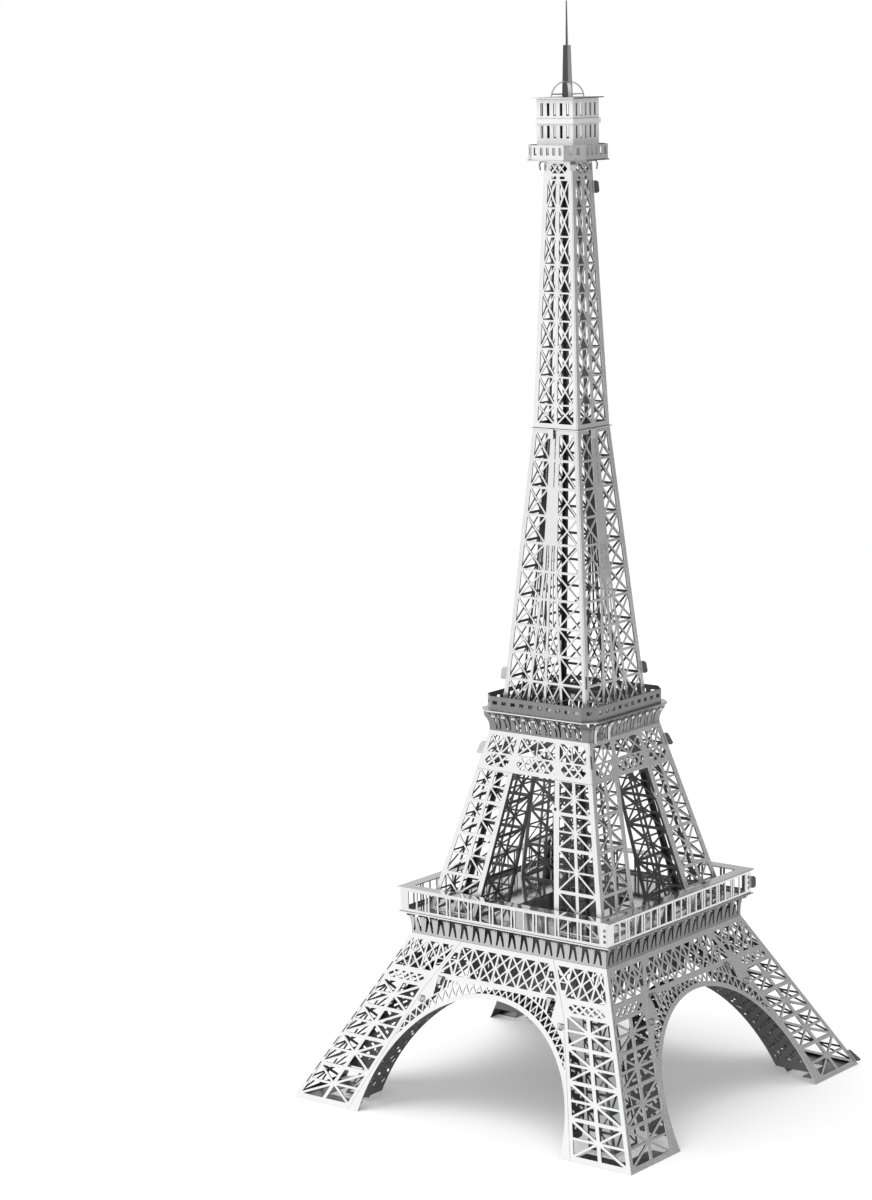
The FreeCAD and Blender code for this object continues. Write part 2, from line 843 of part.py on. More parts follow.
COVE_BULGE = 0.14
COVE_FOOT_RIM = 0.60
COVE_HEAD_RIM = 0.45
BRACKETS = 16
BRACKET_LEAN = 0.35
cove_low = lower_top + gap
cove_high = size("first_cove_top")
cove_top_half = size("first_cove_top_half")
cove = cove_side(cove_low, lower_edge(lower_top), cove_high, cove_top_half, COVE_BULGE)
bracket_holes = []
for index in range(BRACKETS):
    u = (index - 0.5 * (BRACKETS - 1)) * size("bracket_pitch")
    bracket_holes.append(
        bracket_opening(u, cove_low + COVE_FOOT_RIM, cove_high - COVE_HEAD_RIM, BRACKET_LEAN)
    )
first_cove = punched(cove, bracket_holes, cove_top_half + RUN_ALLOWANCE)
for quarter, side in enumerate(SIDES):
    name = "first_cove_" + side
    finish(shape_part(name, first_cove.copy()), name, quarter)


# ---------------------------------------------------------------------------------------------
# Flat plates and rings as sketched bodies
# ---------------------------------------------------------------------------------------------
def origin_plane(body, role):
    """One of a body's own origin planes, found by its role."""
    return next(item for item in body.Origin.OriginFeatures if item.Role == role)


def add_loop(sketch, corners):
    """A closed loop of lines whose corners are pairs of expressions on the sheet of sizes."""
    places = []
    for across, along in corners:
        places.append(Vector(float(sheet.evalExpression(across)), float(sheet.evalExpression(along)), 0))
    first = len(sketch.Geometry)
    count = len(corners)
    for index in range(count):
        sketch.addGeometry(Part.LineSegment(places[index], places[(index + 1) % count]), False)
    for index in range(count):
        following = first + (index + 1) % count
        sketch.addConstraint(Sketcher.Constraint("Coincident", first + index, 2, following, 1))
    for index, (across, along) in enumerate(corners):
        for kind, expression, value in (
            ("DistanceX", across, places[index].x),
            ("DistanceY", along, places[index].y),
        ):
            number = sketch.addConstraint(
                Sketcher.Constraint(kind, -1, 1, first + index, 1, value)
            )
            sketch.setExpression("Constraints[%d]" % number, expression)


def square_loop(half):
    """Corners of a square about the axis."""
    return [("-" + half, "-" + half), (half, "-" + half), (half, half), ("-" + half, half)]


def octagon_loop(half, chamfer):
    """Corners of a square about the axis with its corners cut off."""
    long_side = "(%s)" % half
    short_side = "(%s - %s)" % (half, chamfer)
    signs = [(-1, -1), (1, -1), (1, 1), (-1, 1)]
    corners = []
    for across, along in signs:
        first = (short_side, long_side) if across * along > 0 else (long_side, short_side)
        second = (long_side, short_side) if across * along > 0 else (short_side, long_side)
        for pair in (first, second):
            corners.append((
                ("-" if across < 0 else "") + pair[0],
                ("-" if along < 0 else "") + pair[1],
            ))
    return ordered(corners)


def ordered(corners):
    """Corners sorted by their angle about the axis."""
    def angle(corner):
        return math.atan2(
            float(sheet.evalExpression(corner[1])), float(sheet.evalExpression(corner[0]))
        )
    return sorted(corners, key=angle)


def plate_body(name, loops, level, height):
    """A plate or ring with the loops as its borders, lying at a level and as thick as height."""
    body = doc.addObject("PartDesign::Body", name)
    sketch = body.newObject("Sketcher::SketchObject", name + "_sketch")
    sketch.AttachmentSupport = [(origin_plane(body, "XY_Plane"), "")]
    sketch.MapMode = "FlatFace"
    sketch.setExpression(".AttachmentOffset.Base.z", level)
    for loop in loops:
        add_loop(sketch, loop)
    pad = body.newObject("PartDesign::Pad", name + "_pad")
    pad.Profile = sketch
    pad.setExpression("Length", height)
    body.Tip = pad
    return body


THICK = "Sizes.sheet_thickness"
foot_corner = "(Sizes.foot_plate_outer - Sizes.foot_plate_width)"
foot_loop = [
    ("Sizes.foot_plate_inner", "-Sizes.foot_plate_outer"),
    ("Sizes.foot_plate_outer", "-Sizes.foot_plate_outer"),
    ("Sizes.foot_plate_outer", "-Sizes.foot_plate_inner"),
    (foot_corner, "-Sizes.foot_plate_inner"),
    (foot_corner, "-" + foot_corner),
    ("Sizes.foot_plate_inner", "-" + foot_corner),
]
for quarter, corner in enumerate(CORNERS):
    name = "foot_plate_" + corner
    finish(plate_body(name, [foot_loop], "0", THICK), name, quarter)

first_ceiling = plate_body(
    "first_ceiling",
    [square_loop("Sizes.ceiling_half"), square_loop("Sizes.ceiling_opening_half")],
    "Sizes.ceiling_level",
    THICK,
)
finish(first_ceiling, "first_ceiling")
first_deck = plate_body(
    "first_deck",
    [square_loop("Sizes.first_deck_half"), square_loop("Sizes.first_deck_opening_half")],
    "Sizes.first_deck_level",
    THICK,
)
finish(first_deck, "first_deck")
gallery_roof = plate_body(
    "gallery_roof",
    [square_loop("Sizes.gallery_roof_half"), square_loop("Sizes.gallery_roof_inner_half")],
    "Sizes.gallery_roof_level",
    THICK,
)
finish(gallery_roof, "gallery_roof")


# ---------------------------------------------------------------------------------------------
# Gallery walls round the first floor
# ---------------------------------------------------------------------------------------------
GALLERY_BAYS = 9
GALLERY_POST = 0.50
GALLERY_PAIR_GAP = 0.52
GALLERY_END = 1.90
GALLERY_LOW_RIM = 0.75
GALLERY_HIGH_RIM = 0.80
ROUND_HOLES = 3
ROUND_HOLE_RADIUS = 0.42
ROUND_HOLE_PITCH = 1.45
ROUND_HOLE_INSET = 1.05
ROUND_HOLE_START = 0.70


def gallery_holes():
    """Wide openings between single and paired posts, and round holes by the corner."""
    low = size("gallery_low") + GALLERY_LOW_RIM
    high = size("gallery_high") - GALLERY_HIGH_RIM
    half = size("gallery_half")
    run = half - GALLERY_END
    pitch = 2.0 * run / GALLERY_BAYS
    pair_side = 0.5 * GALLERY_PAIR_GAP + GALLERY_POST
    holes = []
    for index in range(GALLERY_BAYS):
        start = -run + index * pitch
        middle = start + 0.5 * pitch
        openings = [
            (start + pair_side, middle - 0.5 * GALLERY_POST),
            (middle + 0.5 * GALLERY_POST, start + pitch - pair_side),
        ]
        for left, right in openings:
            holes.append(box_outline(upright(left), upright(right), low, high))
        if index:
            holes.append(slot(start, low, high, GALLERY_PAIR_GAP))
    for index in range(ROUND_HOLES):
        level = low + ROUND_HOLE_START + ROUND_HOLE_PITCH * index
        holes.append(round_hole(half - ROUND_HOLE_INSET, level, ROUND_HOLE_RADIUS))
    return holes


gallery_half = size("gallery_half")
for quarter, side in enumerate(SIDES):
    name = "gallery_wall_" + side
    outline = box_outline(
        upright(-gallery_half),
        upright(gallery_half - thickness - gap),
        size("gallery_low"),
        size("gallery_high"),
    )
    face = pierced_face(outline, gallery_holes(), front_plane(upright(gallery_half)))
    finish(sheet_part(name, face, INWARD_FROM_FRONT), name, quarter)


# ---------------------------------------------------------------------------------------------
# Second stage: leg shells, inner leg faces and girders
# ---------------------------------------------------------------------------------------------
upper_base = size("upper_base")
upper_leg_top = size("upper_leg_top")
upper_top = size("upper_top")
upper_edge = leaning(size("upper_half"), size("upper_lean"), upper_base)
upper_inner_edge = leaning(size("upper_inner_half"), size("upper_inner_lean"), upper_base)
upper_post = size("upper_post_width")


def upper_leg_holes(left, right, post):
    """Star-shaped openings up one face of a second-stage leg."""
    bars = [upper_base] + [size("upper_bar_" + letter) for letter in "abc"] + [upper_leg_top + 0.2]
    middle = between(left, right, 0.5)
    holes = []
    for low, high in zip(bars, bars[1:]):
        holes += star_cell(left, middle, right, low + 0.5 * bar, high - 0.5 * bar, post, strut)
    return holes


LUG_INSET = 0.15


def lug_outline(outer):
    """Outline of a second-stage leg face with a round lug on its inner edge."""
    level = size("lug_level")
    radius = size("lug_radius")
    points = [
        (upper_inner_edge(upper_base), upper_base), (outer(upper_base), upper_base),
        (outer(upper_leg_top), upper_leg_top), (upper_inner_edge(upper_leg_top), upper_leg_top),
    ]
    centre = upper_inner_edge(level) + LUG_INSET
    for index in range(9):
        angle = math.radians(110.0 + 17.5 * index)
        points.append((centre + radius * math.cos(angle), level + radius * math.sin(angle)))
    return points


upper_front = front_plane(upper_edge)
upper_right = right_plane(upper_edge)
upper_left_limit = shifted(upper_inner_edge, upper_post)
upper_right_limit = shifted(upper_edge, -upper_post)
upper_holes = upper_leg_holes(upper_left_limit, upper_right_limit, 0.95)
lug_level = size("lug_level")
lug_centre = upper_inner_edge(lug_level) + LUG_INSET
lug_hole = round_hole(lug_centre, lug_level, size("lug_hole_radius"))
for quarter, corner in enumerate(CORNERS):
    name = "upper_leg_shell_" + corner
    front_leaf = pierced_face(lug_outline(upper_edge), upper_holes + [lug_hole], upper_front)
    side_outline = box_outline(
        upper_inner_edge, shifted(upper_edge, -thickness), upper_base, upper_leg_top
    )
    side_leaf = pierced_face(side_outline, upper_holes, upper_right)
    shell = folded(name, [(front_leaf, INWARD_FROM_FRONT), (side_leaf, INWARD_FROM_RIGHT)])
    finish(shell, name, quarter)

upper_inner_leaf = shifted(upper_edge, -thickness - gap)
inner_face_holes = upper_leg_holes(
    shifted(upper_inner_edge, 1.1), shifted(upper_inner_leaf, -0.9), 0.7
)
for quarter, corner in enumerate(CORNERS):
    name = "upper_leg_inner_" + corner
    side_outline = box_outline(upper_inner_edge, upper_inner_leaf, upper_base, upper_leg_top)
    side_leaf = pierced_face(side_outline, inner_face_holes, right_plane(upper_inner_edge))
    back_outline = box_outline(
        shifted(upper_inner_edge, thickness), upper_inner_leaf, upper_base, upper_leg_top
    )
    back_leaf = pierced_face(back_outline, inner_face_holes, front_plane(upper_inner_edge))
    inner = folded(name, [(side_leaf, OUTWARD_TO_RIGHT), (back_leaf, OUTWARD_TO_FRONT)])
    finish(inner, name, quarter)


def pinwheel_outline(edge, low, high):
    """Outline of a side that reaches one corner and stops short of its neighbour at the other."""
    return box_outline(opposite(edge), shifted(edge, -thickness - gap), low, high)


def upper_girder_holes():
    """Crosses over a row of diamonds, split by the lines of the leg posts."""
    low = size("upper_band_low")
    band_high = size("upper_band_high")
    cross_high = size("upper_cross_high")
    post_line = shifted(upper_inner_edge, 0.5 * upper_post)
    outer_line = shifted(upper_edge, -upper_post + 0.5 * strut)
    leg_middle = between(post_line, outer_line, 0.5)
    leg_left = shifted(post_line, 0.5 * upper_post)
    holes = []
    leg = diamond_row(leg_left, shifted(outer_line, -0.1), low, band_high, 3, diamond_strut)
    for left, right in ((leg_left, leg_middle), (leg_middle, outer_line)):
        start = shifted(left, 0.0 if left is leg_left else 0.2)
        stop = shifted(right, -0.2)
        leg += cross_cell(start, stop, band_high + 0.5, cross_high, strut)
    holes += leg + mirrored(leg)
    inner_right = shifted(post_line, -0.5 * upper_post)
    inner_left = opposite(inner_right)
    holes += diamond_row(inner_left, inner_right, low, band_high, 5, diamond_strut)
    centre = cross_cell(upright(0.2), inner_right, band_high + 0.5, cross_high, strut)
    holes += centre + mirrored(centre)
    return holes


girder_openings = upper_girder_holes()
for quarter, side in enumerate(SIDES):
    name = "upper_girder_" + side
    outline = pinwheel_outline(upper_edge, upper_leg_top + gap, upper_top)
    face = pierced_face(outline, girder_openings, upper_front)
    finish(sheet_part(name, face, INWARD_FROM_FRONT), name, quarter)


# ---------------------------------------------------------------------------------------------
# Second floor: ribbed cornice, deck and rail
# ---------------------------------------------------------------------------------------------
CORNICE_PITCH = 3.22
CORNICE_OFFSET = 0.60
CORNICE_SLITS = 9
CORNICE_FOOT_RIM = 0.40
CORNICE_HEAD_RIM = 0.35


def cornice_openings(low, high):
    """Pairs of slits, one straight and one curving away near its top, along one side."""
    knee = low + 0.55 * (high - low)
    holes = []
    for index in range(CORNICE_SLITS):
        u = (index - 0.5 * (CORNICE_SLITS - 1)) * CORNICE_PITCH - CORNICE_OFFSET
        holes.append([
            (u - 0.35, low), (u + 0.15, low), (u - 0.10, knee), (u - 0.85, high),
            (u - 1.70, high), (u - 0.60, knee),
        ])
        holes.append([(u + 0.80, low), (u + 1.25, low), (u + 1.45, high), (u + 0.75, high)])
    return holes


cornice_low = upper_top + gap
cornice_high = size("cornice_top")
cornice_base_half = upper_edge(upper_top)
cornice_half = size("cornice_top_half")
cornice_run = cove_side(cornice_low, cornice_base_half, cornice_high, cornice_half, COVE_BULGE)
cornice_side = punched(
    cornice_run,
    cornice_openings(cornice_low + CORNICE_FOOT_RIM, cornice_high - CORNICE_HEAD_RIM),
    cornice_half + RUN_ALLOWANCE,
)
cornice_sides = []
for quarter in range(4):
    side_shape = cornice_side.copy()
    side_shape.Placement = turned(quarter)
    cornice_sides.append(side_shape)
octagon_half = size("second_deck_half") - 0.25
cornice_trim = octagon_half * 2.0 - size("second_deck_chamfer")
diamond = Part.makeBox(
    cornice_trim * math.sqrt(2), cornice_trim * math.sqrt(2), 30,
    Vector(-cornice_trim / math.sqrt(2), -cornice_trim / math.sqrt(2), cornice_low - 6),
)
diamond.rotate(Vector(0, 0, 0), Vector(0, 0, 1), 45)
cornice = shape_part("cornice", Part.makeCompound(cornice_sides).common(diamond))
finish(cornice, "cornice")

second_deck = plate_body(
    "second_deck",
    [
        octagon_loop("Sizes.second_deck_half", "Sizes.second_deck_chamfer"),
        square_loop("Sizes.third_inner_half"),
    ],
    "Sizes.second_deck_level",
    THICK,
)
finish(second_deck, "second_deck")


def windowed_ring(name, half, chamfer, low, high, cutters):
    """An octagonal wall with openings cut through it."""
    ring = plate_body(
        name + "_wall",
        [
            octagon_loop("Sizes." + half, "Sizes." + chamfer),
            octagon_loop(
                "(Sizes.%s - %s)" % (half, THICK), "(Sizes.%s - 0.586 * %s)" % (chamfer, THICK)
            ),
        ],
        low,
        "Sizes.%s - %s" % (high, low),
    )
    tool = doc.addObject("Part::Feature", name + "_openings")
    tool.Shape = Part.makeCompound(cutters)
    wall = doc.addObject("Part::Cut", name)
    wall.Base = ring
    wall.Tool = tool
    return wall


def wall_cutters(half, chamfer, count, pitch, width, low, high, corner_count, corner_pitch):
    """Boxes that open a row of windows in every side of an octagonal wall."""
    cutters = []
    corner_reach = (2.0 * half - chamfer) / math.sqrt(2)
    for turn in range(8):
        straight = turn % 2 == 0
        reach = half if straight else corner_reach
        windows = count if straight else corner_count
        step = pitch if straight else corner_pitch
        for index in range(windows):
            u = (index - 0.5 * (windows - 1)) * step
            box = Part.makeBox(width, 2.0, high - low, Vector(u - 0.5 * width, -reach - 1.0, low))
            box.rotate(Vector(0, 0, 0), Vector(0, 0, 1), 45.0 * turn)
            cutters.append(box)
    return cutters


hole_half = 0.5 * size("second_rail_hole_height")
hole_level = size("second_rail_hole_level")
second_rail = windowed_ring(
    "second_rail",
    "second_rail_half",
    "second_rail_chamfer",
    "(Sizes.second_deck_level + %s + Sizes.fit_gap)" % THICK,
    "second_rail_high",
    wall_cutters(
        size("second_rail_half"), size("second_rail_chamfer"), 10,
        size("second_rail_hole_pitch"), size("second_rail_hole_width"),
        hole_level - hole_half, hole_level + hole_half, 1, 1.0,
    ),
)
finish(second_rail, "second_rail")


# ---------------------------------------------------------------------------------------------
# Third stage
# ---------------------------------------------------------------------------------------------
third_base = size("third_base")
third_top = size("third_top")
third_edge = leaning(size("third_half"), size("third_lean"), third_base)
third_post = size("third_post_width")
third_bar = size("third_bar_width")


def third_inner_line(z):
    """Middle of the inner posts, which draw together quickly up to a bend and slowly above it."""
    bend = size("third_inner_bend")
    bend_half = size("third_inner_bend_half")
    if z < bend:
        share = (bend - z) / (bend - third_base)
        return bend_half + share * (size("third_inner_half") - bend_half)
    share = (z - bend) / (third_top - bend)
    return bend_half + share * (size("third_inner_top_half") - bend_half)


def bay_levels(top, height, bottom):
    """Bar levels downwards from the top at a fixed bay height, ending on the bottom."""
    levels = [top]
    while levels[-1] - height > bottom + 0.25 * height:
        levels.append(levels[-1] - height)
    levels.append(bottom)
    return levels


SLIT_BAYS = 2
SOLID_BAYS = 2
BARRED_BAYS = 3


def third_holes():
    """Crosses up both sides. Between the middle posts a slit, then plain sheet, bars and crosses."""
    outer = shifted(third_edge, -size("corner_post_width"))
    inner_outer_side = shifted(third_inner_line, 0.5 * third_post)
    inner_inner_side = shifted(third_inner_line, -0.5 * third_post)
    centre_side = upright(0.5 * size("third_centre_post_width"))
    slit = size("third_slit_width")
    levels = bay_levels(third_top - 0.65, size("third_bay_height"), third_base)
    holes = []
    for index, (high, low) in enumerate(zip(levels, levels[1:])):
        bottom = low + 0.5 * third_bar
        top = high - 0.5 * third_bar
        right = cross_cell(inner_outer_side, outer, bottom, top, strut)
        if index >= SLIT_BAYS + SOLID_BAYS + BARRED_BAYS:
            right += cross_cell(centre_side, inner_inner_side, bottom, top, fine)
        elif index >= SLIT_BAYS + SOLID_BAYS:
            middle = between(centre_side, inner_inner_side, 0.5)
            right.append(box_outline(centre_side, shifted(middle, -0.5 * fine), bottom, top))
            right.append(box_outline(shifted(middle, 0.5 * fine), inner_inner_side, bottom, top))
        elif index < SLIT_BAYS:
            holes.append(slot(slit, bottom, top, slit))
        holes += right + mirrored(right)
    return holes


third_openings = third_holes()
for quarter, side in enumerate(SIDES):
    name = "third_side_" + side
    outline = pinwheel_outline(third_edge, third_base, third_top)
    face = pierced_face(outline, third_openings, front_plane(third_edge))
    finish(sheet_part(name, face, INWARD_FROM_FRONT), name, quarter)

JOINT_TAB_START = -1.90
joint_level = third_top + gap
joint_half = size("joint_plate_half")
joint_tab = size("joint_tab_width")
joint_drop = size("joint_tab_drop")
joint_plate = Part.makeBox(
    2.0 * joint_half, 2.0 * joint_half, thickness, Vector(-joint_half, -joint_half, joint_level)
)
for quarter in range(4):
    tab_height = joint_drop + thickness
    tab_sheet = Part.makeBox(
        joint_tab, thickness, tab_height,
        Vector(JOINT_TAB_START, -joint_half - thickness, joint_level - joint_drop),
    )
    tab_sheet.Placement = turned(quarter).multiply(tab_sheet.Placement)
    joint_plate = joint_plate.fuse(tab_sheet)
finish(shape_part("joint_plate", joint_plate.removeSplitter()), "joint_plate")


# ---------------------------------------------------------------------------------------------
# Fourth stage
# ---------------------------------------------------------------------------------------------
fourth_base = size("fourth_base")
fourth_top = size("fourth_top")
fourth_edge = leaning(size("fourth_half"), size("fourth_lean"), fourth_base)


def fourth_holes():
    """Two columns of crosses beside a middle post, and a band of diamonds at the top."""
    outer = shifted(fourth_edge, -size("corner_post_width"))
    post_half = 0.5 * size("fourth_post_width")
    height = size("fourth_bay_height")
    levels = [fourth_base + 1.0]
    levels += [size("fourth_lowest_bar") + index * height for index in range(9)]
    holes = []
    for low, high in zip(levels, levels[1:]):
        right = cross_cell(upright(post_half), outer, low + 0.5 * strut, high - 0.5 * strut, strut)
        holes += right + mirrored(right)
    top_bar = levels[-1] + 0.5 * strut
    right = [box_outline(upright(post_half), shifted(outer, -1.2), top_bar, top_bar + 0.65)]
    holes += right + mirrored(right)
    band_low = top_bar + 1.45
    holes += diamond_row(opposite(outer), outer, band_low, fourth_top - 0.75, 3, fine)
    return holes


fourth_openings = fourth_holes()
for quarter, side in enumerate(SIDES):
    name = "fourth_side_" + side
    outline = pinwheel_outline(fourth_edge, fourth_base, fourth_top)
    face = pierced_face(outline, fourth_openings, front_plane(fourth_edge))
    finish(sheet_part(name, face, INWARD_FROM_FRONT), name, quarter)


# ---------------------------------------------------------------------------------------------
# Top gallery, cabin, roof, mast
# ---------------------------------------------------------------------------------------------
top_deck = plate_body(
    "top_deck",
    [octagon_loop("Sizes.top_deck_half", "Sizes.top_deck_chamfer")],
    "(Sizes.fourth_top + Sizes.fit_gap)",
    THICK,
)
finish(top_deck, "top_deck")

top_rail = windowed_ring(
    "top_rail",
    "top_rail_half",
    "top_rail_chamfer",
    "Sizes.top_rail_low",
    "top_rail_high",
    wall_cutters(
        size("top_rail_half"), size("top_rail_chamfer"), 5, 1.95, 0.85,
        size("top_rail_low") + 1.15, size("top_rail_high") - 0.6, 2, 1.95,
    ),
)
finish(top_rail, "top_rail")


def cabin_shape():
    """The two-storey cabin: a folded square tube with two rows of windows, standing on the deck."""
    half = size("cabin_half")
    low = size("top_rail_low")
    high = size("cabin_high")
    outer = Part.makeBox(2 * half, 2 * half, high - low, Vector(-half, -half, low))
    inner_half = half - thickness
    corner = Vector(-inner_half, -inner_half, low)
    inner = Part.makeBox(2 * inner_half, 2 * inner_half, high - low, corner)
    width = size("cabin_window_width")
    height = size("cabin_window_height")
    pitch = size("cabin_window_pitch")
    reach = 4.0 * half
    cutters = []
    for level in (size("cabin_band_low") - 0.45 - height, size("cabin_band_high") + 0.75):
        for index in range(5):
            u = (index - 2) * pitch
            start = u - 0.5 * width
            cutters.append(Part.makeBox(width, reach, height, Vector(start, -0.5 * reach, level)))
            cutters.append(Part.makeBox(reach, width, height, Vector(-0.5 * reach, start, level)))
    return outer.cut(inner).cut(Part.makeCompound(cutters))


finish(shape_part("cabin", cabin_shape()), "cabin")

band_outer = "(Sizes.cabin_half + Sizes.fit_gap + %s)" % THICK
cabin_band = plate_body(
    "cabin_band",
    [square_loop(band_outer), square_loop("(Sizes.cabin_half + Sizes.fit_gap)")],
    "Sizes.cabin_band_low",
    "Sizes.cabin_band_high - Sizes.cabin_band_low",
)
finish(cabin_band, "cabin_band")

cabin_roof = plate_body(
    "cabin_roof",
    [square_loop("Sizes.roof_half")],
    "(Sizes.cabin_high + Sizes.fit_gap)",
    THICK,
)
finish(cabin_roof, "cabin_roof")


def dome_strap(reach, crown, foot, width):
    """Half an arched strap from the mast out and down to the roof."""
    start = Vector(0, 0, crown)
    middle = Vector(0.72 * reach, 0, foot + 0.70 * (crown - foot))
    stop = Vector(reach, 0, foot)
    rise = Vector(0, 0, -thickness)
    pull = Vector(-thickness, 0, 0)
    outer = Part.Arc(start, middle, stop).toShape()
    inner = Part.Arc(start + rise, middle + (rise + pull) * 0.7, stop + pull).toShape()
    ends = [Part.makeLine(start, start + rise), Part.makeLine(stop, stop + pull)]
    border = Part.Wire(Part.__sortEdges__([outer, ends[0], inner, ends[1]]))
    strap = Part.Face(border).extrude(Vector(0, width, 0))
    strap.translate(Vector(0, -0.5 * width, 0))
    return strap


def mast_shape():
    """The folded mast with its four dome straps, the small cap plate and the spire."""
    foot = size("cabin_high") + gap + thickness + gap
    crown = size("dome_crown")
    mast_top = size("mast_top")
    base_half = size("mast_base_half")
    top_half = size("mast_top_half")
    levels = ((base_half, foot), (top_half, mast_top))
    squares = []
    for half, z in levels:
        corners = [Vector(x * half, y * half, z) for x, y in ((-1, -1), (1, -1), (1, 1), (-1, 1))]
        squares.append(Part.makePolygon(corners + corners[:1]))
    shape = Part.makeLoft(squares, True)
    for quarter in range(4):
        strap = dome_strap(size("dome_foot_radius"), crown, foot, size("dome_strap_width"))
        strap.Placement = turned(quarter + 0.5).multiply(strap.Placement)
        shape = shape.fuse(strap)
    cap_half = size("cap_half")
    cap_corner = Vector(-cap_half, -cap_half, size("cap_level"))
    cap = Part.makeBox(2 * cap_half, 2 * cap_half, thickness, cap_corner)
    shape = shape.fuse(cap)
    spire = []
    for half, z in ((size("spire_half"), mast_top), (size("spire_tip_half"), size("spire_top"))):
        corners = [Vector(x * half, y * half, z) for x, y in ((-1, -1), (1, -1), (1, 1), (-1, 1))]
        spire.append(Part.makePolygon(corners + corners[:1]))
    return shape.fuse(Part.makeLoft(spire, True)).removeSplitter()


finish(shape_part("mast", mast_shape()), "mast")


# ---------------------------------------------------------------------------------------------
# Twisted tabs that stand out of the corners and lock the folded parts together
# ---------------------------------------------------------------------------------------------
def twist_tab(edge, low):
    """A tab standing diagonally out of a corner, with its outer corners cut off."""
    width = size("tab_width")
    high = low + size("tab_height")
    cut = 0.35 * width
    inner_low = edge(low) * math.sqrt(2) + size("tab_gap")
    inner_high = edge(high) * math.sqrt(2) + size("tab_gap")
    profile = [
        (inner_low, low), (inner_low + width - cut, low), (inner_low + width, low + cut),
        (inner_high + width, high - cut), (inner_high + width - cut, high), (inner_high, high),
    ]
    middle_plane = front_plane(upright(0.5 * thickness))
    tab = Part.Face(wire(profile, middle_plane)).extrude(Vector(0, thickness, 0))
    tab.rotate(Vector(0, 0, 0), Vector(0, 0, 1), 45.0)
    return tab


# Each entry gives the edge, the level of the tab's foot and the corners. Corners are counted in
# quarter turns from the back right one.
ALL_CORNERS = (0, 1, 2, 3)
BACK_CORNERS = (0, 1)
BACK_RIGHT = (0,)
TAB_PLACES = [
    (lower_edge, size("foot_tab_level"), BACK_CORNERS),
    (upright(size("gallery_half")), size("gallery_tab_level"), BACK_CORNERS),
    (upper_edge, size("upper_tab_level"), ALL_CORNERS),
    (third_edge, size("third_tab_level"), ALL_CORNERS),
    (fourth_edge, size("fourth_tab_level"), BACK_RIGHT),
]
tabs = []
for edge, low, corners_with_tabs in TAB_PLACES:
    for quarter in corners_with_tabs:
        tab = twist_tab(edge, low)
        tab.rotate(Vector(0, 0, 0), Vector(0, 0, 1), 90.0 * quarter)
        tabs.append(tab)
finish(shape_part("twist_tabs", Part.makeCompound(tabs)), "twist_tabs")


# ---------------------------------------------------------------------------------------------
# Check and write every sub-part
# ---------------------------------------------------------------------------------------------
doc.recompute()
for item in doc.Objects:
    if "Invalid" in item.State or "Error" in item.State:
        raise RuntimeError("%s did not recompute: %s" % (item.Name, item.State))

os.makedirs("parts", exist_ok=True)
for node in nodes:
    if node.Shape.isNull() or not node.Shape.isValid():
        raise RuntimeError("%s has no valid shape" % node.Label)
    if not node.Shape.Solids:
        raise RuntimeError("%s has no solid" % node.Label)
    node.Shape.exportStep(os.path.join("parts", node.Label + ".step"))
print("wrote %d sub-parts" % len(nodes))
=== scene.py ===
"""Looks for the miniature lattice tower: satin steel sheet, a pale floor and a soft studio."""

import math

import bmesh
import bpy
from mathutils import Matrix, Vector


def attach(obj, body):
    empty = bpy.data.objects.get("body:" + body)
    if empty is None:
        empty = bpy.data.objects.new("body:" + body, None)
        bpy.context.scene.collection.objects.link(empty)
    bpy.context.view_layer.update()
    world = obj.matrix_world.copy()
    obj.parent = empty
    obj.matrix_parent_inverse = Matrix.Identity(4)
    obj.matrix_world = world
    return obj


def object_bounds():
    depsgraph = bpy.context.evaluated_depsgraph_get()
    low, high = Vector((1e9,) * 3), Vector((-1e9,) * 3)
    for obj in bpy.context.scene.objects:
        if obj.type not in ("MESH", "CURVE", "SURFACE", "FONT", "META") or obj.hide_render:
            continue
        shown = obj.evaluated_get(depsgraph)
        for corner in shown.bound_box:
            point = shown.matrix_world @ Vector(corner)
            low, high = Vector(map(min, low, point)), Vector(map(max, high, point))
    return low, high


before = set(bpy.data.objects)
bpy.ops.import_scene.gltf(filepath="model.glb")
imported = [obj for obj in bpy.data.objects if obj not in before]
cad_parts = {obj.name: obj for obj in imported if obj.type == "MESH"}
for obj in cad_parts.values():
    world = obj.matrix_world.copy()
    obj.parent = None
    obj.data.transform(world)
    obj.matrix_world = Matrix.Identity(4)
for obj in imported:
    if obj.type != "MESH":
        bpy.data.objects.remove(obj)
CAD_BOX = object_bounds()

# ---------------------------------------------------------------- studio numbers
CAMERA_PLACE = (0.50049, -0.69958, 0.27923)
CAMERA_AZIMUTH = 37.977
CAMERA_ELEVATION = 9.754
CAMERA_ROLL = 1.0776
LENS_MM = 99.91
SENSOR_MM = 36.0

# The bright side of the studio is to the front left and above, the dim side behind to the right.
BRIGHT_SIDE = Vector((-0.62, -0.55, 0.55)).normalized()
BRIGHT_LEVEL = 1.0
DIM_LEVEL = 0.34
DIM_END = -0.25
BRIGHT_END = 0.60
LAMP_PLACE = (-0.35, -0.30, 2.40)
LAMP_SIZE = 1.8
LAMP_POWER = 24.0
FLOOR_COLOUR = (0.86, 0.86, 0.86, 1.0)
FLOOR_RADIUS = 0.9
FLOOR_SIDES = 96
FLOOR_DROP = 0.00002
FLOOR_GRAIN_SCALE = 900.0
LIFT = 0.17


